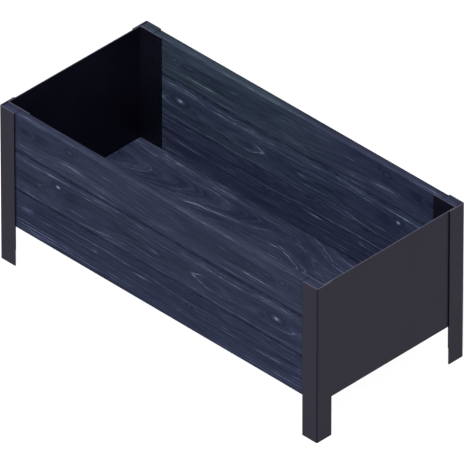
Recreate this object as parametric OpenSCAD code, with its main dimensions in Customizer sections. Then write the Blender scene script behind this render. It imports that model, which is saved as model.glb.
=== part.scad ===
// Raised planter: two long timber walls held between folded steel end panels on four angle legs.
// Origin on the ground at the centre of the footprint, +X along the length, +Z up.

/* [Overall size] */
// Length over the legs
planter_l = 870; // [700:10:1400]
// Width over the legs
planter_w = 405; // [260:5:700]
// Height of the legs
planter_h = 366; // [346:2:520]

/* [Legs] */
// Width of each flange of the leg angle
leg_w = 40; // [30:1:60]
// Sheet thickness of the leg
leg_t = 2.5; // [1.5:0.5:4]
// Inside radius of the leg's fold
leg_bend_r = 0.5; // [0.5:0.5:5]

/* [End panels] */
// Sheet thickness of the end panel
panel_t = 2; // [1:0.5:3]
// Inside radius of the panel's folds
panel_bend_r = 0.5; // [0.5:0.5:4]
// Height of the panel's lower edge over the ground
panel_ground = 88.2; // [60:0.2:110]
// How far the panel's top edge sits below the leg's top
panel_drop = 0.5; // [0:0.5:10]
// Length of the vertical return flange along the wall
return_w = 60; // [45:1:90]
// Width of the shelf flange that carries the floor
shelf_w = 30; // [20:1:50]
// Length left free at each end of the shelf, for the corner folds
shelf_relief = 6; // [5:1:15]

/* [Timber walls] */
// Thickness of the wall boards
board_t = 18; // [15:1:24]
// Height that a full board covers
board_h = 93; // [70:1:100]
// How far the walls' lower edge sits above the end panels' lower edge
wall_rise = 5; // [4.5:0.5:10]
// How far the walls' top edge sits below the leg's top
wall_drop = 0.3; // [0:0.1:10]
// Thickness of the tongue on a board's upper edge
tongue_t = 6; // [4:0.5:7]
// Height of the tongue
tongue_h = 6; // [4:0.5:8]
// Chamfer along the visible joints
joint_chamfer = 1.5; // [0.5:0.5:3]
// Rounding along the walls' free edges
edge_r = 1; // [0.5:0.5:4]
// Gap between a board's end and the leg
end_gap = 2; // [1.5:0.5:5]

/* [Floor] */
// Thickness of the floor panel
floor_t = 10; // [6:1:15]
// Gap between the floor's edges and the flanges and folds beside them
floor_gap = 0.5; // [0.5:0.5:3]
// Distance between neighbouring floor rails
rail_pitch = 215; // [100:5:220]
// Width of a floor rail
rail_w = 40; // [30:1:60]
// Sheet thickness of a floor rail
rail_t = 2; // [1:0.5:2]
// Depth of the rail's side lips, with the web
rail_lip_h = 12; // [6:1:20]
// Length that the side lips stop short of the wall
rail_lip_end = 22; // [15:1:40]
// Reach of the rail's end tab under the wall
rail_tab = 12; // [12:1:14]

/* [Screws] */
// Shank diameter of the wall screws
wall_screw_d = 4; // [3:0.5:5]
// Length of the wall screws, with the head
wall_screw_l = 16; // [12:1:16]
// Distance between a board's two wall screws
wall_screw_pitch = 48; // [40:1:60]
// Distance from the panel's face to the wall screws
wall_screw_x = 36; // [25:1:40]
// Shank diameter of the rail screws
rail_screw_d = 3.5; // [3:0.5:4]
// Length of the rail screws under the head
rail_screw_l = 20; // [15:1:30]
// Distance between the two rail screws of one tab
rail_screw_pitch = 20; // [14:1:24]

/* [Hidden] */

$fn = 48;
eps = 0.01;
steel = [0.2, 0.19, 0.23];
timber = [0.18, 0.21, 0.31];
plywood = [0.15, 0.17, 0.25];
black_zinc = [0.08, 0.08, 0.09];

// Outside radii of the folds
leg_fold_r = leg_bend_r + leg_t;
panel_fold_r = panel_bend_r + panel_t;

// The faces that the pieces share, measured from the middle of the planter
face_x = planter_l / 2 - leg_t;
wall_y = planter_w / 2 - leg_t;
wall_in_y = wall_y - board_t;
return_in_y = wall_in_y - panel_t;

// The timber walls
board_l = 2 * (face_x - end_gap);
wall_ground = panel_ground + wall_rise;
wall_top = planter_h - wall_drop;
row_z = [wall_ground, wall_ground + board_h, wall_ground + 2 * board_h, wall_top];
groove_fit = 0.1;
groove_h = tongue_h + 0.5;

// The floor and its rails
shelf_top = panel_ground + panel_t;
floor_l = 2 * (face_x - panel_fold_r - floor_gap);
floor_w = 2 * (return_in_y - floor_gap);
riser_y = wall_in_y;
lip_end = riser_y - rail_lip_end;

// The screws
bore_fit = 0.1;
tip_h = 3;
tip_d = 0.5;
drive_depth = 1.2;
drive_share = 0.8;
wall_head_d = 2 * wall_screw_d;
wall_head_h = panel_t;
wall_screw_pos_x = face_x - wall_screw_x;
rail_head_d = 2 * rail_screw_d;
rail_head_h = 2;
rail_hole_d = rail_screw_d + 0.5;
rail_screw_y = wall_in_y + rail_tab / 2;
rail_screw_depth = rail_screw_l - rail_t;

// Places a shape made for the +X +Y corner at any of the four corners
module at_corner(sx, sy) {
    mirror([sx < 0 ? 1 : 0, 0, 0])
        mirror([0, sy < 0 ? 1 : 0, 0])
            children();
}

// Square corner [0,0]..[w,d] whose far corner is rounded with radius r
module rounded_corner(w, d, r) {
    square([w - r, d]);
    square([w, d - r]);
    translate([w - r, d - r]) circle(r);
}

// Leg: an angle folded from one strip, its outer faces on the planter's outline
module leg(sx, sy) {
    color(steel)
        at_corner(sx, sy)
            translate([planter_l / 2 - leg_w, planter_w / 2 - leg_w, 0])
                linear_extrude(planter_h)
                    difference() {
                        rounded_corner(leg_w, leg_w, leg_fold_r);
                        translate([-eps, -eps])
                            rounded_corner(leg_w - leg_t + eps, leg_w - leg_t + eps, leg_bend_r);
                    }
}

// Plan outline of the end panel: the web and its two return flanges
module panel_plan() {
    difference() {
        panel_half_plans(return_w, wall_in_y, panel_fold_r);
        translate([-eps, 0])
            panel_half_plans(return_w - panel_t + eps, return_in_y, panel_bend_r);
    }
}

module panel_half_plans(w, d, r) {
    for (side = [0, 1])
        mirror([0, side])
            rounded_corner(w, d, r);
}

// Shelf flange folded inwards from the web's lower edge
module shelf() {
    shelf_l = 2 * (return_in_y - shelf_relief);
    translate([face_x, shelf_l / 2, panel_ground])
        rotate([90, 0, 0])
            linear_extrude(shelf_l)
                difference() {
                    mirror([0, 1])
                        translate([-shelf_w, -shelf_w])
                            rounded_corner(shelf_w, shelf_w, panel_fold_r);
                    mirror([0, 1])
                        translate([-shelf_w - eps, -shelf_w - eps])
                            rounded_corner(shelf_w - panel_t + eps, shelf_w - panel_t + eps, panel_bend_r);
                }
}

// Bores for the wall screws of one board, at the +X +Y corner
module wall_screw_places(row) {
    mid = (row_z[row] + row_z[row + 1]) / 2;
    for (dz = [-wall_screw_pitch / 2, wall_screw_pitch / 2])
        translate([wall_screw_pos_x, return_in_y, mid + dz])
            rotate([-90, 0, 0])
                children();
}

// Countersunk clearance hole through the return flange
module wall_screw_hole() {
    hole_d = wall_screw_d + bore_fit;
    translate([0, 0, -eps])
        cylinder(h = panel_t + 2 * eps, d = hole_d);
    translate([0, 0, -eps])
        cylinder(h = wall_head_h + eps, d1 = wall_head_d + bore_fit, d2 = hole_d);
}

module end_panel(sx) {
    color(steel)
        mirror([sx < 0 ? 1 : 0, 0, 0])
            difference() {
                union() {
                    translate([face_x - return_w, 0, panel_ground + panel_fold_r])
                        linear_extrude(planter_h - panel_drop - panel_ground - panel_fold_r)
                            panel_plan();
                    shelf();
                }
                for (side = [0, 1], row = [0:2])
                    mirror([0, side, 0])
                        wall_screw_places(row)
                            wall_screw_hole();
            }
}

// Section of a board of height h: its outer face at x = 0, its lower shoulder at y = 0.
// Joints get a chamfer on both faces, and the walls' free edges are rounded.
module board_section(h, is_bottom, is_top) {
    low = is_bottom ? edge_r : joint_chamfer;
    high = is_top ? edge_r : joint_chamfer;
    tongue_x = (board_t - tongue_t) / 2;
    tongue = is_top ? [] : [[board_t - tongue_x, h], [board_t - tongue_x, h + tongue_h],
                            [tongue_x, h + tongue_h], [tongue_x, h]];
    difference() {
        union() {
            polygon(concat([[low, 0], [board_t - low, 0], [board_t, low],
                            [board_t, h - high], [board_t - high, h]],
                           tongue,
                           [[high, h], [0, h - high], [0, low]]));
            for (x = [edge_r, board_t - edge_r]) {
                if (is_bottom) translate([x, edge_r]) circle(edge_r);
                if (is_top) translate([x, h - edge_r]) circle(edge_r);
            }
        }
        if (!is_bottom)
            translate([tongue_x - groove_fit, -eps])
                square([tongue_t + 2 * groove_fit, groove_h + eps]);
    }
}

// Wall board: row 0 is the bottom one; sy is -1 on the front wall and +1 on the back wall
module wall_board(row, sy) {
    h = row_z[row + 1] - row_z[row];
    color(timber)
        mirror([0, sy > 0 ? 1 : 0, 0])
            difference() {
                translate([-board_l / 2, -wall_y, row_z[row]])
                    rotate([90, 0, 90])
                        linear_extrude(board_l)
                            board_section(h, row == 0, row == 2);
                for (sx = [-1, 1])
                    at_corner(sx, -1)
                        wall_screw_places(row)
                            translate([0, 0, panel_t - eps])
                                cylinder(h = wall_screw_l - panel_t + bore_fit, d = wall_screw_d + bore_fit);
                if (row == 0)
                    for (rail = [-1:1], dx = [-1, 1])
                        translate([rail * rail_pitch + dx * rail_screw_pitch / 2, -rail_screw_y,
                                   wall_ground - eps])
                            cylinder(h = rail_screw_depth + 2 * bore_fit, d = rail_screw_d + bore_fit);
            }
}

// Floor: one loose panel on the two shelves and the rails, with a drain gap along each wall
module floor_panel() {
    color(plywood)
        translate([-floor_l / 2, -floor_w / 2, shelf_top])
            cube([floor_l, floor_w, floor_t]);
}

// Half of a floor rail, towards +Y: web, side lips, riser and the tab under the wall
module floor_rail_half() {
    difference() {
        union() {
            translate([-rail_w / 2, 0, shelf_top - rail_t])
                cube([rail_w, riser_y, rail_t]);
            translate([-rail_w / 2, riser_y - rail_t, shelf_top - rail_t])
                cube([rail_w, rail_t, wall_ground - shelf_top + rail_t]);
            translate([-rail_w / 2, riser_y - rail_t, wall_ground - rail_t])
                cube([rail_w, rail_tab + rail_t, rail_t]);
            for (side = [0, 1])
                mirror([side, 0, 0])
                    translate([rail_w / 2 - rail_t, 0, shelf_top - rail_lip_h])
                        cube([rail_t, lip_end, rail_lip_h]);
        }
        for (dx = [-1, 1])
            translate([dx * rail_screw_pitch / 2, rail_screw_y, wall_ground - rail_t - eps])
                cylinder(h = rail_t + 2 * eps, d = rail_hole_d);
    }
}

module floor_rail(place) {
    color(steel)
        translate([place * rail_pitch, 0, 0])
            for (side = [0, 1])
                mirror([0, side, 0])
                    floor_rail_half();
}

// Shank with a pointed end, its start at z = 0
module shank(d, l) {
    cylinder(h = l - tip_h, d = d);
    translate([0, 0, l - tip_h])
        cylinder(h = tip_h, d1 = d, d2 = tip_d);
}

// Countersunk screw, head flush with z = 0
module wall_screw() {
    difference() {
        union() {
            cylinder(h = wall_head_h, d1 = wall_head_d, d2 = wall_screw_d);
            translate([0, 0, wall_head_h - eps])
                shank(wall_screw_d, wall_screw_l - wall_head_h + eps);
        }
        translate([0, 0, -eps])
            cylinder(h = drive_depth + eps, d = wall_screw_d * drive_share, $fn = 6);
    }
}

module wall_screws(sx, sy) {
    color(black_zinc)
        at_corner(sx, sy)
            for (row = [0:2])
                wall_screw_places(row)
                    wall_screw();
}

// Pan-head screw under a rail's tab, the head's seat at z = 0
module rail_screw() {
    difference() {
        union() {
            translate([0, 0, -rail_head_h])
                cylinder(h = rail_head_h, d = rail_head_d);
            translate([0, 0, -eps])
                shank(rail_screw_d, rail_screw_l + eps);
        }
        translate([0, 0, -rail_head_h - eps])
            cylinder(h = drive_depth + eps, d = rail_screw_d * drive_share, $fn = 6);
    }
}

module rail_screws() {
    color(black_zinc)
        for (side = [0, 1], rail = [-1:1], dx = [-1, 1])
            mirror([0, side, 0])
                translate([rail * rail_pitch + dx * rail_screw_pitch / 2, rail_screw_y, wall_ground - rail_t])
                    rail_screw();
}

leg(-1, -1);  // leg_front_left
leg(1, -1);  // leg_front_right
leg(-1, 1);  // leg_back_left
leg(1, 1);  // leg_back_right
end_panel(-1);  // end_panel_left
end_panel(1);  // end_panel_right
wall_board(0, -1);  // front_board_bottom
wall_board(1, -1);  // front_board_middle
wall_board(2, -1);  // front_board_top
wall_board(0, 1);  // back_board_bottom
wall_board(1, 1);  // back_board_middle
wall_board(2, 1);  // back_board_top
floor_panel();
floor_rail(-1);  // floor_rail_left
floor_rail(0);  // floor_rail_middle
floor_rail(1);  // floor_rail_right
wall_screws(-1, -1);  // wall_screws_front_left
wall_screws(1, -1);  // wall_screws_front_right
wall_screws(-1, 1);  // wall_screws_back_left
wall_screws(1, 1);  // wall_screws_back_right
rail_screws();
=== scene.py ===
import math

import bmesh
import bpy
import numpy as np
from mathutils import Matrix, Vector


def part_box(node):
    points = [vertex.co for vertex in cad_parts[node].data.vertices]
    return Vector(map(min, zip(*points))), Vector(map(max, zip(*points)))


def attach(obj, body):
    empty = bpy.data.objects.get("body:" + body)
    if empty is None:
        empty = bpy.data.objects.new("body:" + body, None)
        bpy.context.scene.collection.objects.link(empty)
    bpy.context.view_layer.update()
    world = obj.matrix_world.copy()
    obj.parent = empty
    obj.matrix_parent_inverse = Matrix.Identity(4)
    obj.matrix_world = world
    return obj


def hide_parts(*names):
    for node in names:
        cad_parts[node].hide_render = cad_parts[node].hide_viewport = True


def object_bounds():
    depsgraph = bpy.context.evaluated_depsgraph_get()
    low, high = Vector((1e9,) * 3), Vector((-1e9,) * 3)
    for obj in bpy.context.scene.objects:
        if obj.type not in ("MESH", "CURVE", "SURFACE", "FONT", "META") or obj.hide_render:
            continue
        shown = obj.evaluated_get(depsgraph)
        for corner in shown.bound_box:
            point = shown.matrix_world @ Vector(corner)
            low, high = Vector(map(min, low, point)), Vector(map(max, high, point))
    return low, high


# The planter as it is seen. The wall boards and the floor are rebuilt as swept planks with grain;
# the steel pieces and the screws keep their CAD shapes and get a coat. MM turns millimetres into
# Blender's metres.

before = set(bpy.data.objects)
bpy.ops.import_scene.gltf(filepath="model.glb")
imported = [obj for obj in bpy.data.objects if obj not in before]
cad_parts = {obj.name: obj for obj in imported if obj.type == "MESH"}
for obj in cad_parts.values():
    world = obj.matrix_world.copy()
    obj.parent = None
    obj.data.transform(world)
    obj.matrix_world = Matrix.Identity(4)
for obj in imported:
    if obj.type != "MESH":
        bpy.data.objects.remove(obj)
cad_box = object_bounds()
MM = 0.001

# ---------------------------------------------------------------- shader graphs


class Graph:
    """Short forms for building one material from nodes."""

    def __init__(self, name):
        self.material = bpy.data.materials.new(name)
        self.material.use_nodes = True
        self.tree = self.material.node_tree
        self.tree.nodes.clear()

    def node(self, kind, **settings):
        made = self.tree.nodes.new("ShaderNode" + kind)
        for key, value in settings.items():
            setattr(made, key, value)
        return made

    def put(self, socket, value):
        """Links an output to the socket, or sets the socket to a constant."""
        if isinstance(value, bpy.types.NodeSocket):
            self.tree.links.new(value, socket)
        elif value is not None:
            socket.default_value = value

    def math(self, operation, a, b=None):
        made = self.node("Math", operation=operation)
        for socket, value in zip(made.inputs, (a, b)):
            self.put(socket, value)
        return made.outputs[0]

    def add(self, a, b):
        return self.math("ADD", a, b)

    def sub(self, a, b):
        return self.math("SUBTRACT", a, b)

    def mul(self, a, b):
        return self.math("MULTIPLY", a, b)

    def divide(self, a, b):
        return self.math("DIVIDE", a, b)

    def larger(self, a, b):
        return self.math("MAXIMUM", a, b)

    def absolute(self, a):
        return self.math("ABSOLUTE", a)

    def root(self, a):
        return self.math("SQRT", a)

    def square(self, a):
        return self.math("MULTIPLY", a, a)

    def bell(self, squared_distance):
        """1 in the middle, falling off as exp(-d squared)."""
        return self.math("EXPONENT", self.mul(squared_distance, -1.0))

    def hump(self, value, middle, half):
        """A bell of this half width round a middle."""
        return self.bell(self.square(self.mul(self.sub(value, middle), 1 / half)))

    def ellipse(self, x, y, middle_x, middle_y, half_x, half_y):
        """The squared distance from a middle, 1 on an ellipse of these half lengths."""
        return self.add(self.square(self.mul(self.sub(x, float(middle_x)), 1 / half_x)),
                        self.square(self.mul(self.sub(y, float(middle_y)), 1 / half_y)))

    def smooth(self, value, low, high, to_low=0.0, to_high=1.0):
        """A smooth step from to_low at low to to_high at high."""
        made = self.node("MapRange", interpolation_type="SMOOTHSTEP")
        for key, number in (("From Min", low), ("From Max", high),
                            ("To Min", to_low), ("To Max", to_high)):
            made.inputs[key].default_value = number
        self.put(made.inputs["Value"], value)
        return made.outputs["Result"]

    def point(self, x=0.0, y=0.0, z=0.0):
        made = self.node("CombineXYZ")
        for socket, value in zip(made.inputs, (x, y, z)):
            self.put(socket, value)
        return made.outputs[0]

    def axes(self, vector):
        made = self.node("SeparateXYZ")
        self.put(made.inputs[0], vector)
        return made.outputs

    def noise(self, vector, scale=1.0, detail=2.0, roughness=0.5):
        made = self.node("TexNoise")
        self.put(made.inputs["Vector"], vector)
        for key, number in (("Scale", scale), ("Detail", detail), ("Roughness", roughness)):
            made.inputs[key].default_value = number
        return made.outputs["Fac"]

    def curve(self, x, points, low, high):
        """A smooth curve through points [(x, y)], whose y lie between low and high."""
        first, last = points[0][0], points[-1][0]
        made = self.node("FloatCurve")
        line = made.mapping.curves[0]
        spots = [((px - first) / (last - first), (py - low) / (high - low)) for px, py in points]
        line.points[0].location = spots[0]
        line.points[1].location = spots[-1]
        for spot in spots[1:-1]:
            line.points.new(*spot)
        made.mapping.update()
        self.put(made.inputs["Value"], self.divide(self.sub(x, float(first)), float(last - first)))
        return self.add(self.mul(made.outputs[0], float(high - low)), float(low))

    def ramp(self, value, stops):
        """Colours [(place, rgb)] along value."""
        made = self.node("ValToRGB")
        elements = made.color_ramp.elements
        while len(elements) < len(stops):
            elements.new(0.5)
        for element, (place, rgb) in zip(elements, stops):
            element.position = place
            element.color = (*rgb, 1.0)
        self.put(made.inputs[0], value)
        return made.outputs[0]

    def blend(self, share, a, b, how="MIX"):
        """A mix of two colours."""
        made = self.node("Mix", data_type="RGBA", blend_type=how)
        for place, value in ((0, share), (6, a), (7, b)):
            self.put(made.inputs[place], value)
        return made.outputs[2]

    def mix(self, share, a, b):
        """A mix of two numbers."""
        made = self.node("Mix", data_type="FLOAT")
        for place, value in ((0, share), (2, a), (3, b)):
            self.put(made.inputs[place], value)
        return made.outputs[0]

    def finish(self, colour, roughness, height, depth, specular, tint=(1, 1, 1)):
        """The surface itself: a principled shader with a bump of this depth in metres."""
        shader = self.node("BsdfPrincipled")
        bump = self.node("Bump")
        bump.inputs["Distance"].default_value = depth
        self.put(bump.inputs["Height"], height)
        self.put(shader.inputs["Base Color"], colour)
        self.put(shader.inputs["Roughness"], roughness)
        self.put(shader.inputs["Normal"], bump.outputs[0])
        shader.inputs["Specular IOR Level"].default_value = specular
        shader.inputs["Specular Tint"].default_value = (*tint, 1)
        output = self.node("OutputMaterial")
        self.tree.links.new(shader.outputs[0], output.inputs[0])
        return self.material


def linear(level):
    """A display level from 0 to 255, as a linear value."""
    share = level / 255
    return share / 12.92 if share <= 0.04045 else ((share + 0.055) / 1.055) ** 2.4


def srgb(*levels):
    return tuple(linear(level) for level in levels)


# ---------------------------------------------------------------- timber

# Colour by tone, before the piece's own stain
TONES = [
    (0.00, srgb(5, 8, 17)),
    (0.30, srgb(15, 19, 34)),
    (0.50, srgb(23, 27, 43)),
    (0.72, srgb(32, 37, 54)),
    (1.00, srgb(78, 85, 106)),
]
MIDDLE_TONE = 0.5
# What the greener, lighter tint multiplies the colour by, where along the grain it comes in, and
# how much more its edge wavers than the grain does
GREEN_TINT = (1.27, 1.55, 1.12)
GREEN_FROM, GREEN_TO, GREEN_WAVER = -210, 110, 24.0

# Noise on the face: length along the grain and across it (mm), offset, detail and roughness
FIELDS = {
    "waver": (150, 40, 3.1, 2, 0.5),
    "ripple": (30, 9, 7.7, 2, 0.5),
    "fibres": (24, 1.3, 11.3, 2, 0.6),
    "streaks": (64, 2.6, 17.9, 3, 0.6),
    "mottle": (130, 32, 23.7, 2, 0.5),
    "flecks": (34, 4.2, 29.1, 1, 0.5),
    "presence": (70, 14, 31.7, 1, 0.5),
    "rubbing_and_shade": (20, 5, 41.3, 2, 0.5),
}
# Noise on the growth rings: size across them and along the grain (mm), offset, detail, roughness
BANDS = {"broad": (9, 900, 0, 1, 0.4), "fine": (3, 220, 5, 3, 0.66)}
# How far the grain's lines leave their place (mm, from the lowest to the highest noise)
WAVER, RIPPLE = 14.0, 2.6
# How much each kind of noise moves the tone
WEIGHTS = {"broad": 0.26, "fine": 0.95, "fibres": 0.45, "streaks": 0.50, "mottle": 0.26}
FLECK_NOISE, FLECK_TONE = (0.66, 0.80), 0.16

# Knots, on a squared distance that is 1 at their rim: the reach of their bump in the rings, its
# height next to the pith's depth, their edge, the rings in them, and their tones
KNOT_REACH, KNOT_BUMP, KNOT_EDGE = 0.45, 0.9, (1.5, 0.8)
KNOT_RINGS, KNOT_SHIFT, KNOT_RING_TONE, KNOT_TONE = 3.2, 0.37, 0.5, 0.08
CORE_FALL, RIM_PLACE, RIM_HALF, RIM_TONE = 9.0, 0.98, 1 / 7, 0.22

# Pale rings keep their width on the face, whatever the slope of the rings under it: least slope,
# then widening. They fade in and out, and over the figure's middle they are weaker.
RING_SLOPE, RING_SPREAD = 0.10, 2.4
PRESENCE = (0.34, 0.56, 0.6, 1.0)
OVER_FROM, OVER_TO = (6.0, 11.0), (24.0, 31.0)
PATCH_STREAKS = (0.30, 0.62, 0.45, 1.25)

# Rubbed edges, which on the floor carry a painted shade; the painted shadow band beside a leg
# (mm); and the crest of a top board, with a painted highlight and painted shade (mm)
RUBBING_AND_SHADE = (0.35, 0.65, 0.04, 0.12)
LEG_GAP, LEG_SHADOW_BAND, LEG_SHADOW_TONE = 1.5, 1.8, 0.28
CREST_FROM, CREST_TO = 0.8, 0.2
CREST_AT, CREST_BAND, CREST_HIGHLIGHT = 3.5, 2.6, 0.06
CREST_SHADE = (6.0, 12.0, 0.0, 0.09)

TIMBER_ROUGHNESS = (0.3, 0.7, 0.50, 0.68)
TIMBER_BUMP, TIMBER_SPECULAR = 0.0003, 0.03


class Timber(Graph):
    """Stained softwood whose growth rings are round a pith line in front of the face.

    The grain's axes are u along it, v across it and w into it, in millimetres.
    """

    def __init__(self, name, seed, wander):
        super().__init__(name)
        self.seed = seed
        grain = self.node("Attribute", attribute_name="grain").outputs["Vector"]
        self.u, self.v, self.w = self.axes(grain)
        self.waver = self.mul(self.sub(self.field("waver"), 0.5), WAVER * wander)
        self.ripple = self.mul(self.sub(self.field("ripple"), 0.5), RIPPLE * wander)

    def field(self, key):
        along, across, offset, detail, roughness = FIELDS[key]
        spot = self.point(self.add(self.mul(self.u, 1 / along), self.seed + offset),
                          self.mul(self.v, 1 / across), self.mul(self.w, 1 / across))
        return self.noise(spot, detail=detail, roughness=roughness)

    def band(self, key, radius):
        across, along, offset, detail, roughness = BANDS[key]
        spot = self.point(self.mul(radius, 1 / across), self.mul(self.u, 1 / along),
                          self.seed + offset)
        return self.noise(spot, detail=detail, roughness=roughness)

    def rings(self, depth, centre, swell):
        """How far across the figure a point is, and the square of its ring's radius."""
        across = self.sub(self.add(self.v, self.add(self.waver, self.ripple)),
                          self.curve(self.u, centre, 0, 400))
        squares = [(x, half * abs(half)) for x, half in swell]
        low, high = min(s for _, s in squares), max(s for _, s in squares)
        bulge = self.curve(self.u, squares, low - 1, high + 1)
        behind = self.square(self.add(self.w, float(depth)))
        return across, self.sub(self.add(self.square(across), behind), bulge)

    def knot(self, u, v, half_u, half_v, core):
        """A knot's bump in the rings, its share of the face, and its tone."""
        away = self.ellipse(self.u, self.add(self.v, self.ripple), u, v, half_u, half_v)
        bump = self.bell(self.mul(away, KNOT_REACH))
        share = self.smooth(away, *KNOT_EDGE)
        out = self.root(away)
        rings = self.noise(self.point(self.mul(out, KNOT_RINGS), u * KNOT_SHIFT, self.seed),
                           detail=2, roughness=0.6)
        middle = self.mul(self.bell(self.mul(away, CORE_FALL)), core)
        rim = self.mul(self.hump(out, RIM_PLACE, RIM_HALF), RIM_TONE)
        tone = self.add(self.mul(rings, KNOT_RING_TONE), KNOT_TONE)
        return bump, share, self.add(self.add(tone, middle), rim)

    def pale_rings(self, tone, lines, radius, across, above):
        slope = self.divide(self.absolute(across), radius)
        spread = self.mul(self.larger(slope, RING_SLOPE), RING_SPREAD)
        presence = self.smooth(self.field("presence"), *PRESENCE)
        over = self.mul(self.smooth(across, *OVER_FROM), self.smooth(across, *OVER_TO, 1.0, 0.0))
        presence = self.mul(presence, self.sub(1.0, self.mul(over, 1.0 - above)))
        for ring, width, strength in lines:
            near = self.mul(self.sub(radius, float(ring)), 1 / width)
            edge = self.bell(self.square(self.divide(near, spread)))
            tone = self.add(tone, self.mul(self.mul(edge, presence), strength))
        return tone

    def patches(self, tone, spots, streaks):
        wavy = self.add(self.v, self.add(self.waver, self.ripple))
        uneven = self.smooth(streaks, *PATCH_STREAKS)
        for u, v, half_u, half_v, strength in spots:
            away = self.ellipse(self.u, wavy, u, v, half_u, half_v)
            tone = self.add(tone, self.mul(self.mul(self.bell(away), uneven), strength))
        return tone

    def edges(self, tone, legs_at, crest):
        # Wear lightens rubbed edges and darkens the joints; on the floor it is painted shade along
        # the edges
        wear_and_shade = self.node("Attribute", attribute_name="wear_and_shade").outputs["Fac"]
        tone = self.add(tone, self.mul(wear_and_shade, self.smooth(self.field("rubbing_and_shade"), *RUBBING_AND_SHADE)))
        if legs_at:
            # A painted shadow on the boards just beside each leg's edge, where the leg stands
            # proud of them
            leg_shadow = self.hump(self.absolute(self.u), legs_at - LEG_GAP, LEG_SHADOW_BAND)
            tone = self.sub(tone, self.mul(leg_shadow, LEG_SHADOW_TONE))
        if crest:
            # Painted highlight in a band along the top edge's front, and painted shade further in
            top = self.smooth(self.v, crest - CREST_FROM, crest - CREST_TO)
            band = self.sub(self.mul(self.hump(self.w, CREST_AT, CREST_BAND), CREST_HIGHLIGHT),
                            self.smooth(self.w, *CREST_SHADE))
            tone = self.add(tone, self.mul(top, band))
        return tone

    def stained(self, tone):
        """The piece's own colour is how it took the stain, with painted light and shade; 1 - its
        alpha is how much of the greener tint it takes.
        """
        stain_and_shading = self.node("ObjectInfo").outputs
        colour = self.blend(1.0, self.ramp(tone, TONES), stain_and_shading["Color"], "MULTIPLY")
        where = self.smooth(self.add(self.u, self.mul(self.waver, GREEN_WAVER)),
                            GREEN_FROM, GREEN_TO)
        green = self.mul(self.sub(1.0, stain_and_shading["Alpha"]), where)
        return self.blend(green, colour, self.blend(1.0, colour, (*GREEN_TINT, 1), "MULTIPLY"))


def timber(name, depth, centre, swell, lines=(), knots=(), spots=(), seed=0.0, above=1.0,
           crest=None, legs_at=None, wander=1.0):
    """One board's material. Lengths are in millimetres on the grain's axes.

    depth: how far in front of the face the pith runs.
    centre: [(u, v)], where the pith line runs along the face.
    swell: [(u, half)], half the height of the figure that the ring of radius depth draws.
    lines: [(radius, width, strength)], pale rings.
    knots: [(u, v, half length, half height, core)].
    spots: [(u, v, half length, half height, strength)], paler or darker patches.
    above: how strong the pale rings are over the middle of the figure, next to under it.
    crest: the height v of a planed top edge, along whose front a highlight is painted as a paler
    band, with painted shade further in.
    legs_at: how far from the middle, along the grain, the legs' edges are, beside which a shadow
    is painted.
    wander: how much the rings wander.
    """
    g = Timber(name, seed, wander)
    across, reach = g.rings(depth, centre, swell)
    knot_share = knot_tone = None
    for place in knots:
        bump, share, tone = g.knot(*place)
        reach = g.add(reach, g.mul(bump, KNOT_BUMP * depth))
        knot_tone = tone if knot_tone is None else g.mix(share, knot_tone, tone)
        knot_share = share if knot_share is None else g.larger(knot_share, share)
    radius = g.root(g.larger(reach, 1.0))
    parts = {key: g.band(key, radius) for key in ("broad", "fine")}
    parts.update((key, g.field(key)) for key in ("fibres", "streaks", "mottle"))
    tone = MIDDLE_TONE
    for key, part in parts.items():
        tone = g.add(g.mul(g.sub(part, 0.5), WEIGHTS[key]), tone)
    tone = g.add(tone, g.mul(g.smooth(g.field("flecks"), *FLECK_NOISE), FLECK_TONE))
    tone = g.pale_rings(tone, lines, radius, across, above)
    tone = g.patches(tone, spots, parts["streaks"])
    if knots:
        tone = g.mix(knot_share, tone, knot_tone)
    tone = g.edges(tone, legs_at, crest)
    fine, fibres = parts["fine"], parts["fibres"]
    roughness = g.smooth(g.add(g.mul(fine, 0.5), g.mul(fibres, 0.5)), *TIMBER_ROUGHNESS)
    height = g.add(g.add(g.mul(fine, 0.5), g.mul(fibres, 0.6)), g.mul(parts["streaks"], 0.3))
    return g.finish(g.stained(tone), roughness, height, TIMBER_BUMP, TIMBER_SPECULAR)


# ---------------------------------------------------------------- coats

PAINT_LOW, PAINT_HIGH = (0.0008, 0.0010, 0.0018), (0.0012, 0.0014, 0.0026)
PAINT_TINT, ZINC_TINT = (0.58, 0.48, 1.0), (0.53, 0.40, 1.0)
DUST_AND_HIGHLIGHT = (0.017, 0.016, 0.026, 1)
ZINC, RUBBED_ZINC = (0.0008, 0.0010, 0.0018, 1), (0.002, 0.0022, 0.004, 1)


def steel_paint():
    """Fine satin powder coat with a slight orange peel, paler where it faces up: dust, and a
    painted highlight on the top edges.
    """
    g = Graph("powder_coated_steel")
    place = g.node("TexCoord").outputs["Object"]
    peel = g.noise(place, scale=900, detail=2)
    cloud = g.noise(place, scale=9, detail=3)
    uneven_cover = g.smooth(g.noise(place, scale=60, detail=3), 0.3, 0.7, 0.6, 1.0)
    facing_up = g.axes(g.node("NewGeometry").outputs["Normal"])[2]
    # Faces that face up are paler: dust, and a painted highlight where light from above falls on
    # the top edges
    dust_and_highlight = g.mul(g.smooth(facing_up, 0.5, 0.95), uneven_cover)
    colour = g.blend(dust_and_highlight, g.ramp(cloud, [(0.3, PAINT_LOW), (0.7, PAINT_HIGH)]), DUST_AND_HIGHLIGHT)
    roughness = g.smooth(cloud, 0.3, 0.7, 0.34, 0.42)
    return g.finish(colour, roughness, peel, depth=0.00005, specular=0.20, tint=PAINT_TINT)


def screw_coat():
    """Black zinc, slightly rubbed."""
    g = Graph("black_zinc")
    place = g.node("TexCoord").outputs["Object"]
    rubbed = g.smooth(g.noise(place, scale=400, detail=3), 0.5, 0.75)
    colour = g.blend(rubbed, ZINC, RUBBED_ZINC)
    roughness = g.smooth(rubbed, 0, 1, 0.35, 0.5)
    return g.finish(colour, roughness, rubbed, depth=0.00003, specular=0.16, tint=ZINC_TINT)


# ---------------------------------------------------------------- outlines and sweeps


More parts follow.
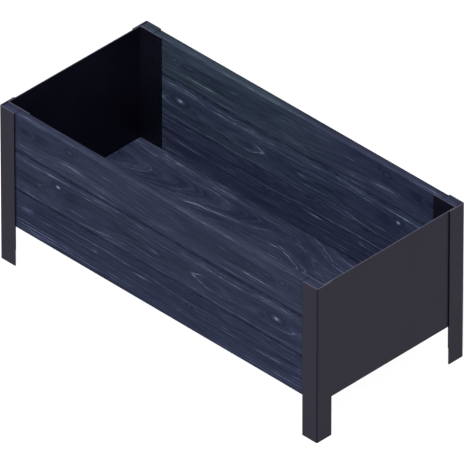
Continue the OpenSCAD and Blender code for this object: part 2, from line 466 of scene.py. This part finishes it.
def rounded(corners, segments):
    """A closed outline through corners [(x, y, radius)], each rounded to its radius."""
    outline = []
    for i, (x, y, radius) in enumerate(corners):
        here = np.array((x, y), float)
        before = np.array(corners[i - 1][:2], float) - here
        after = np.array(corners[(i + 1) % len(corners)][:2], float) - here
        before /= np.linalg.norm(before)
        after /= np.linalg.norm(after)
        half = math.acos(max(-1.0, min(1.0, float(before @ after)))) / 2
        towards = (before + after) / np.linalg.norm(before + after)
        middle = here + towards * (radius / math.sin(half))
        start = here + before * (radius / math.tan(half)) - middle
        end = here + after * (radius / math.tan(half)) - middle
        turn = math.atan2(start[0] * end[1] - start[1] * end[0], float(start @ end))
        for k in range(segments + 1):
            a = turn * k / segments
            outline.append(middle + (start[0] * math.cos(a) - start[1] * math.sin(a),
                                     start[0] * math.sin(a) + start[1] * math.cos(a)))
    return outline


def divided(outline, step, support=0.4):
    """The outline with its long sides cut to steps, and a point close to each end of a side."""
    points = []
    for i, a in enumerate(outline):
        b = outline[(i + 1) % len(outline)]
        length = float(np.linalg.norm(b - a))
        points.append(a)
        if length <= 3 * support:
            continue
        span = length - 2 * support
        count = max(1, math.ceil(span / step))
        points += [a + (b - a) * ((support + span * k / count) / length) for k in range(count + 1)]
    return points


def edge_distance(points, outline):
    """How far each point is from the nearest corner of the outline."""
    corners = np.array(outline)
    return [float(np.min(np.linalg.norm(corners - p, axis=1))) for p in points]


def outward(points):
    """The outline's unit normals, out of it."""
    p = np.array(points)
    edges = np.roll(p, -1, 0) - p
    area = float(np.sum(p[:, 0] * np.roll(p[:, 1], -1) - np.roll(p[:, 0], -1) * p[:, 1]))
    normals = np.stack([edges[:, 1], -edges[:, 0]], 1) * (1 if area > 0 else -1)
    normals /= np.linalg.norm(normals, axis=1)[:, None]
    both = normals + np.roll(normals, 1, 0)
    return both / np.linalg.norm(both, axis=1)[:, None]


def stations(length, step, ease):
    """[(place, inset)] along a sweep: its ends are eased by a small round."""
    angles = (0, math.pi / 4, math.pi / 2)
    near = [(ease * (1 - math.cos(a)), ease * (1 - math.sin(a))) for a in angles]
    span = length - 4 * ease
    count = max(1, round(span / step))
    middle = [(2 * ease + span * k / count, 0.0) for k in range(count + 1)]
    return near + middle + [(length - s, inset) for s, inset in near[::-1]]


SHARP = math.radians(38)


def mesh_object(name, vertices, faces, grain, wear_and_shade):
    """A smooth-shaded object whose sharp edges stay sharp, with its grain and its wear and painted
    shade by vertex.
    """
    mesh = bpy.data.meshes.new(name)
    mesh.from_pydata([tuple(v) for v in vertices], [], faces)
    for key, kind, field, values in (("grain", "FLOAT_VECTOR", "vector", grain),
                                     ("wear_and_shade", "FLOAT", "value", wear_and_shade)):
        made = mesh.attributes.new(key, kind, "POINT")
        made.data.foreach_set(field, np.ravel(values).astype(np.float32))
    work = bmesh.new()
    work.from_mesh(mesh)
    bmesh.ops.recalc_face_normals(work, faces=work.faces)
    bmesh.ops.triangulate(work, faces=[f for f in work.faces if len(f.verts) > 4])
    work.to_mesh(mesh)
    work.free()
    mesh.shade_smooth()
    mesh.set_sharp_from_angle(angle=SHARP)
    made = bpy.data.objects.new(name, mesh)
    bpy.context.scene.collection.objects.link(made)
    return made


def sweep(outline, length, step, ease, place, relief=None):
    """Vertices and faces of the outline swept along a length with both ends closed.

    place(x, y, s) gives the vertex in metres. relief(x, y, s) is how far a point sinks, in
    millimetres. The third list gives each vertex's own x, y and s.
    """
    points = np.array(outline)
    normals = outward(outline)
    count = len(points)
    vertices, faces, raw = [], [], []
    slices = stations(length, step, ease)
    for s, inset in slices:
        for (x, y), normal in zip(points, normals):
            sink = inset + (relief(x, y, s) if relief else 0.0)
            vertices.append(place(x - normal[0] * sink, y - normal[1] * sink, s))
            raw.append((x, y, s))
    for k in range(len(slices) - 1):
        here, there = k * count, (k + 1) * count
        for i in range(count):
            j = (i + 1) % count
            faces.append((here + i, here + j, there + j, there + i))
    faces.append(tuple(range(count)))
    faces.append(tuple(range((len(slices) - 1) * count, len(slices) * count)))
    return vertices, faces, raw


def finish_piece(piece, material, stain_and_shading, green, node):
    piece.data.materials.append(material)
    # The object colour carries the stain together with painted light and shade
    piece.color = (*stain_and_shading, 1 - green)
    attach(piece, "root")
    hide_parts(node)


# How quickly wear, and the painted shade along the floor's edges, fade away from an edge, in
# millimetres
EDGE_FADE = 1.6


def near_edge(points, outline):
    return [math.exp(-d / EDGE_FADE) for d in edge_distance(points, outline)]


# ---------------------------------------------------------------- wall boards

# A board's section, in millimetres
BOARD_T = 18.0
TONGUE_T, TONGUE_H, TONGUE_ROUND = 6.0, 6.0, 0.6
GROOVE_T, GROOVE_H = 6.2, 6.5
CHAMFER, CHAMFER_ROUND = 1.5, 0.5
ROUND, CORNER_ROUND = 1.0, 0.3
BOTTOM, TOP = 0, 2
BOARD_STEP_ACROSS, BOARD_STEP_ALONG, BOARD_EASE = 3.2, 4.0, 0.5
UNEVEN = 0.07
# Stain gathers in the joints between boards and rubs off the free edges, the lowest one least
JOINT_WEAR, JOINT_REACH = -3.4, 3
LOW_EDGE_WEAR, LOW_EDGE = 0.2, 10


def board_outline(height, row):
    """Section of a board: x is the depth from its outer face, y the height over its shoulder."""
    inner, mid, half_t, half_g = BOARD_T, BOARD_T / 2, TONGUE_T / 2, GROOVE_T / 2
    if row == BOTTOM:
        low = [(0, 0, ROUND), (inner, 0, ROUND)]
    else:
        low = [(0, CHAMFER, CHAMFER_ROUND), (CHAMFER, 0, CHAMFER_ROUND),
               (mid - half_g, 0, CORNER_ROUND), (mid - half_g, GROOVE_H, CORNER_ROUND),
               (mid + half_g, GROOVE_H, CORNER_ROUND), (mid + half_g, 0, CORNER_ROUND),
               (inner - CHAMFER, 0, CHAMFER_ROUND), (inner, CHAMFER, CHAMFER_ROUND)]
    if row == TOP:
        high = [(inner, height, ROUND), (0, height, ROUND)]
    else:
        tip = height + TONGUE_H
        high = [(inner, height - CHAMFER, CHAMFER_ROUND), (inner - CHAMFER, height, CHAMFER_ROUND),
                (mid + half_t, height, CORNER_ROUND), (mid + half_t, tip, TONGUE_ROUND),
                (mid - half_t, tip, TONGUE_ROUND), (mid - half_t, height, CORNER_ROUND),
                (CHAMFER, height, CHAMFER_ROUND), (0, height - CHAMFER, CHAMFER_ROUND)]
    return rounded(low + high, segments=3)


def add_board(node, row, side, material, stain_and_shading, green):
    """side is -1 on the front wall and +1 on the back wall, whose figure is the front's mirror."""
    low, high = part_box(node)
    length = (high.x - low.x) / MM
    height = (high.z - low.z) / MM - (0 if row == TOP else TONGUE_H)
    outline = board_outline(height, row)
    points = divided(outline, BOARD_STEP_ACROSS)

    def place(x, y, s):
        face = low.y + x * MM if side < 0 else high.y - x * MM
        return (low.x + s * MM, face, low.z + y * MM)

    def relief(x, y, s):
        """A planed face is never quite flat."""
        wave = math.sin(s / 61 + row * 2 + side) * math.cos(y / 23 + s / 190)
        return UNEVEN * (1 + wave)

    vertices, faces, raw = sweep(points, length, BOARD_STEP_ALONG, BOARD_EASE, place, relief)
    # The figure is drawn on the wall's outer face in front and on its inner face at the back
    grain = [((s - length / 2) * -side, y, x if side < 0 else BOARD_T - x) for x, y, s in raw]
    joints = ([] if row == BOTTOM else [0]) + ([] if row == TOP else [height])
    rubbed = []
    for amount, (_, y) in zip(near_edge(points, outline), points):
        if min(abs(y - joint) for joint in joints) < JOINT_REACH:
            amount *= JOINT_WEAR
        elif y <= LOW_EDGE:
            amount *= LOW_EDGE_WEAR
        rubbed.append(amount)
    wear_and_shade = [rubbed[i % len(points)] for i in range(len(vertices))]
    piece = mesh_object(node.replace("board", "plank"), vertices, faces, grain, wear_and_shade)
    finish_piece(piece, material, stain_and_shading, green, node)


HALF = 435
LEGS_AT = HALF - 40
PLANK_BOTTOM = timber(
    "stained_timber_bottom", depth=30, seed=1.7, legs_at=LEGS_AT,
    centre=[(-HALF, 80), (-150, 86), (100, 78), (HALF, 84)],
    swell=[(-HALF, -6), (-200, 4), (60, -6), (250, 6), (HALF, -5)],
    lines=[(34, 0.9, 0.20), (46, 0.8, 0.14), (58, 0.9, 0.16), (66, 0.8, 0.14), (72, 0.8, 0.16),
           (79, 0.8, 0.16)],
    knots=[(84, 54, 14, 4, 0.5)],
    spots=[(-365, 58, 18, 7, 0.30), (-325, 64, 85, 3, -0.30), (-175, 55, 10, 3, 0.2),
           (-41, 56, 26, 3, 0.34), (29, 54, 12, 3, 0.2), (88, 54, 18, 3, 0.2),
           (385, 57, 8, 5, 0.3), (0, 89, 420, 1.1, 0.22)],
)
PLANK_MIDDLE = timber(
    "stained_timber_middle", depth=42, seed=4.2, legs_at=LEGS_AT, above=0.4,
    centre=[(-HALF, 42), (-325, 41), (-234, 40), (-87, 45), (-6, 41), (94, 43), (206, 40),
            (294, 42), (HALF, 41)],
    swell=[(-HALF, -9), (-330, 0), (-234, 17), (-87, 7), (-40, 4), (-6, 0), (45, -7), (94, 0),
           (114, 7.5), (138, 13), (206, 9), (294, 14), (375, 0), (HALF, -7)],
    lines=[(42, 0.55, 0.30), (44.5, 0.4, 0.14), (47, 0.4, 0.16), (50, 0.4, 0.14),
           (52.5, 0.4, 0.24), (54.5, 0.4, 0.20), (56.5, 0.4, 0.26), (59, 0.4, 0.18),
           (62, 0.4, 0.12), (66, 0.5, 0.12)],
    knots=[(-276, 62, 20, 14, 0.80), (322, 52, 32, 15, 0.75)],
    spots=[(-242, 52, 30, 16, -0.20), (282, 42, 10, 4, -0.2), (0, 84, 420, 4.0, 0.10),
           (0, 86, 420, 1.2, -0.10)],
)
PLANK_TOP = timber(
    "stained_timber_top", depth=52, seed=9.4, legs_at=LEGS_AT, crest=86.5,
    centre=[(-HALF, 60), (-367, 56), (-240, 66), (0, 52), (200, 46), (HALF, 50)],
    swell=[(-HALF, 0), (-367, 10), (-250, -5), (-120, -12), (60, -6), (240, 8), (HALF, -4)],
    lines=[(58, 0.6, 0.10), (64, 0.7, 0.12), (70, 0.7, 0.08)],
    knots=[(-367, 55, 26, 11, -0.2), (-244, 67, 18, 12, 0.25), (337, 51, 16, 10, 0.42)],
    spots=[(-347, 55, 50, 20, -0.18), (-229, 71, 10, 4, -0.3), (-240, 34, 34, 7, 0.16),
           (-150, 55, 22, 2.5, 0.22), (11, 21, 26, 7, 0.22), (173, 52, 8, 2, 0.3),
           (243, 52, 8, 2, 0.25), (294, 52, 9, 2, 0.3), (285, 39, 120, 1.4, 0.18),
           (270, 25, 150, 1.4, 0.18), (0, 13, 420, 1.2, -0.12)],
)
# The rows of boards from the bottom up, and each board's colour: how it took the stain, with
# painted light and shade
ROWS = (("bottom", PLANK_BOTTOM), ("middle", PLANK_MIDDLE), ("top", PLANK_TOP))
FRONT_STAIN_AND_SHADE = ((0.59, 0.58, 0.62), (0.70, 0.68, 0.67), (0.81, 0.78, 0.74))
BACK_STAIN_AND_SHADE = ((1.03, 1.0, 0.98), (0.95, 0.93, 0.92), (0.80, 0.74, 0.74))
BACK_GREEN = (0.0, 0.45, 1.0)
for row, (level, material) in enumerate(ROWS):
    add_board("front_board_" + level, row, -1, material, FRONT_STAIN_AND_SHADE[row], 0.0)
    add_board("back_board_" + level, row, 1, material, BACK_STAIN_AND_SHADE[row], BACK_GREEN[row])

# ---------------------------------------------------------------- floor panel

CLEAR_RINGS = (30, 37.3, 44.7, 51.4, 55.8, 58.8, 59.7, 62, 66, 71, 77, 84, 92)
FAINT_RINGS = (34, 41.2, 48.3, 53.8, 57.4, 60.6, 64, 68.5, 74, 80)
FLOOR_TIMBER = timber(
    "stained_plywood", depth=60, seed=6.6, wander=1.9,
    centre=[(-HALF, 285), (-270, 298), (-135, 312), (20, 325), (80, 310), (150, 285), (HALF, 280)],
    swell=[(-HALF, 58), (-270, 47), (-206, 40), (-135, 31), (-64, 22), (19, 12), (60, 6),
           (100, 12), (HALF, 30)],
    lines=[(radius, 0.6, 0.20) for radius in CLEAR_RINGS]
    + [(radius, 0.5, 0.12) for radius in FAINT_RINGS],
)
# The floor's colour: its stain, lightened by painted light
FLOOR_STAIN_AND_LIGHT = (1.20, 1.12, 1.05)
# The last number darkens the floor along its edges: painted shade where it meets the walls
FLOOR_STEP, FLOOR_EASE, FLOOR_ROUND, FLOOR_EDGE_SHADE = 6.0, 0.4, 0.5, -0.6


def add_floor():
    low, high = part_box("floor_panel")
    length, width, thick = ((b - a) / MM for a, b in zip(low, high))
    corners = ((0, 0), (width, 0), (width, thick), (0, thick))
    outline = rounded([(x, y, FLOOR_ROUND) for x, y in corners], segments=2)
    points = divided(outline, FLOOR_STEP)

    def place(x, y, s):
        return (low.x + s * MM, low.y + x * MM, low.z + y * MM)

    vertices, faces, raw = sweep(points, length, FLOOR_STEP, FLOOR_EASE, place)
    grain = [(s - length / 2, x, thick - y) for x, y, s in raw]
    # Painted shade along the floor's edges, where it meets the walls
    rubbed = [FLOOR_EDGE_SHADE * amount for amount in near_edge(points, outline)]
    wear_and_shade = [rubbed[i % len(points)] for i in range(len(vertices))]
    piece = mesh_object("floor_sheet", vertices, faces, grain, wear_and_shade)
    finish_piece(piece, FLOOR_TIMBER, FLOOR_STAIN_AND_LIGHT, 0, "floor_panel")


add_floor()

# ---------------------------------------------------------------- steel and screws

STEEL_COAT, SCREW_COAT = steel_paint(), screw_coat()
for name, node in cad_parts.items():
    if not node.hide_render:
        node.data.materials.clear()
        node.data.materials.append(SCREW_COAT if "screws" in name else STEEL_COAT)

# ---------------------------------------------------------------- camera, light and ground

# Where the camera looks from, its distance in metres and lens in millimetres, and how far to the
# side of the planter's middle and above it the camera aims
AZIMUTH, ELEVATION = math.radians(44.861), math.radians(35.751)
DISTANCE, LENS, SENSOR = 36.47, 1454.8, 36
AIM_RIGHT, AIM_UP = 1.6 * MM, -3.1 * MM
NEAREST, FARTHEST = 1.0, 200
MIDDLE = (cad_box[0] + cad_box[1]) / 2

# The ground, in metres, hardly takes shadows: it glows
GROUND_HALF, GROUND_DROP = 12, 0.2 * MM
GROUND_GLOW, GROUND_TONE, GROUND_ROUGHNESS = 0.95, 0.04, 0.9
SKY = 1.0
# Soft boxes: direction from the planter, side in metres and power in watts
BOX_DISTANCE = 3.0
SOFT_BOXES = {
    "front_box": ((0.25, -0.75, 0.62), 3.4, 370.0),
    "top_box": ((0.0, -0.1, 1.0), 2.0, 92.0),
    "back_box": ((-0.57, 0.575, 0.584), 2.4, 20.0),
}


def put_toward(made, direction, centre, distance):
    """Stands a camera or a lamp in this direction from a centre, looking back at it."""
    made.location = centre + direction * distance
    made.rotation_euler = direction.to_track_quat("Z", "Y").to_euler()
    bpy.context.scene.collection.objects.link(made)


def add_camera():
    flat = math.cos(ELEVATION)
    back = Vector((math.sin(AZIMUTH) * flat, -math.cos(AZIMUTH) * flat, math.sin(ELEVATION)))
    right = Vector((math.cos(AZIMUTH), math.sin(AZIMUTH), 0))
    data = bpy.data.cameras.new("camera")
    data.lens, data.sensor_width = LENS, SENSOR
    data.clip_start, data.clip_end = NEAREST, FARTHEST
    camera = bpy.data.objects.new("camera", data)
    aim = MIDDLE + right * AIM_RIGHT + back.cross(right) * AIM_UP
    put_toward(camera, back, aim, DISTANCE)
    bpy.context.scene.camera = camera


def add_ground():
    mesh = bpy.data.meshes.new("ground")
    corners = ((-1, -1), (1, -1), (1, 1), (-1, 1))
    mesh.from_pydata([(x * GROUND_HALF, y * GROUND_HALF, 0) for x, y in corners], [],
                     [(0, 1, 2, 3)])
    ground = bpy.data.objects.new("ground", mesh)
    bpy.context.scene.collection.objects.link(ground)
    g = Graph("pale_ground")
    shader = g.node("BsdfPrincipled")
    shader.inputs["Base Color"].default_value = (GROUND_TONE, GROUND_TONE, GROUND_TONE, 1)
    shader.inputs["Roughness"].default_value = GROUND_ROUGHNESS
    shader.inputs["Emission Color"].default_value = (1, 1, 1, 1)
    shader.inputs["Emission Strength"].default_value = GROUND_GLOW
    g.tree.links.new(shader.outputs[0], g.node("OutputMaterial").inputs[0])
    mesh.materials.append(g.material)
    ground.location.z = -GROUND_DROP


def add_light():
    world = bpy.data.worlds.new("studio")
    world.use_nodes = True
    background = world.node_tree.nodes["Background"]
    background.inputs["Color"].default_value = (1, 1, 1, 1)
    background.inputs["Strength"].default_value = SKY
    bpy.context.scene.world = world
    bpy.context.scene.view_settings.view_transform = "Standard"
    for name, (direction, side, power) in SOFT_BOXES.items():
        data = bpy.data.lights.new(name, "AREA")
        data.shape, data.size, data.energy = "SQUARE", side, power
        box = bpy.data.objects.new(name, data)
        put_toward(box, Vector(direction).normalized(), MIDDLE, BOX_DISTANCE)


add_camera()
add_ground()
add_light()
